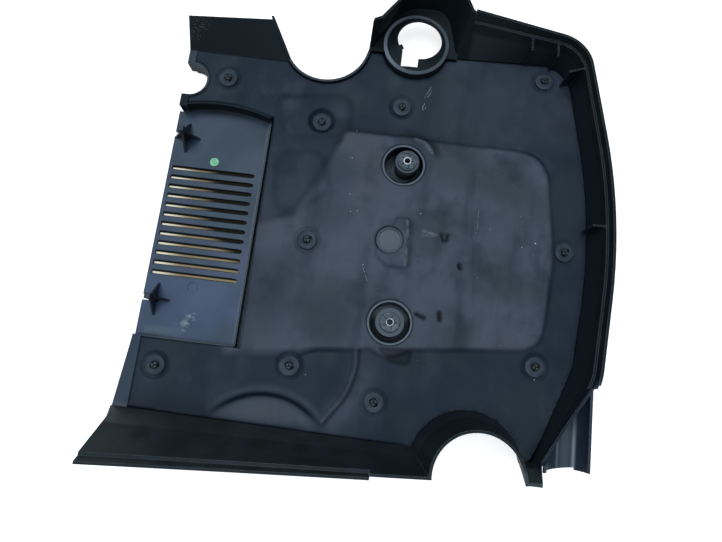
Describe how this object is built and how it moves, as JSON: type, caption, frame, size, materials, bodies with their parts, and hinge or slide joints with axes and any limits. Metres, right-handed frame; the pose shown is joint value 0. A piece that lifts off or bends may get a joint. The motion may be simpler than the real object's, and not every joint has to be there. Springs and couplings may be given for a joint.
{
  "type": "engine cover",
  "caption": "Moulded plastic engine cover lying cavity up, with foam liner, push-on retainers, stud sockets, grille slots and an oil filler hole.",
  "frame": {"origin": "centre of the bounding box, on the floor that the outer face rests on", "axes": "+Z from the outer face up into the cavity, towards the engine; +X along the grille slots away from the open grille side; +Y along the grille side towards the oil filler"},
  "size_m": [0.4832, 0.5416, 0.088],
  "materials": {
    "shell_plastic": "moulded, fine grain, scuffed",
    "liner_foam": "matt skinned foam, dusty",
    "retainer_plastic": "matt, staked",
    "socket_rubber": "smooth black rubber",
    "green_sticker": "satin paper sticker"
  },
  "bodies": {
    "root": {"cover_shell": "shell_plastic", "acoustic_liner": "liner_foam", "liner_retainers": "retainer_plastic", "upper_socket": "socket_rubber", "lower_socket": "socket_rubber", "inspection_dot": "green_sticker"}
  },
  "joints": []
}
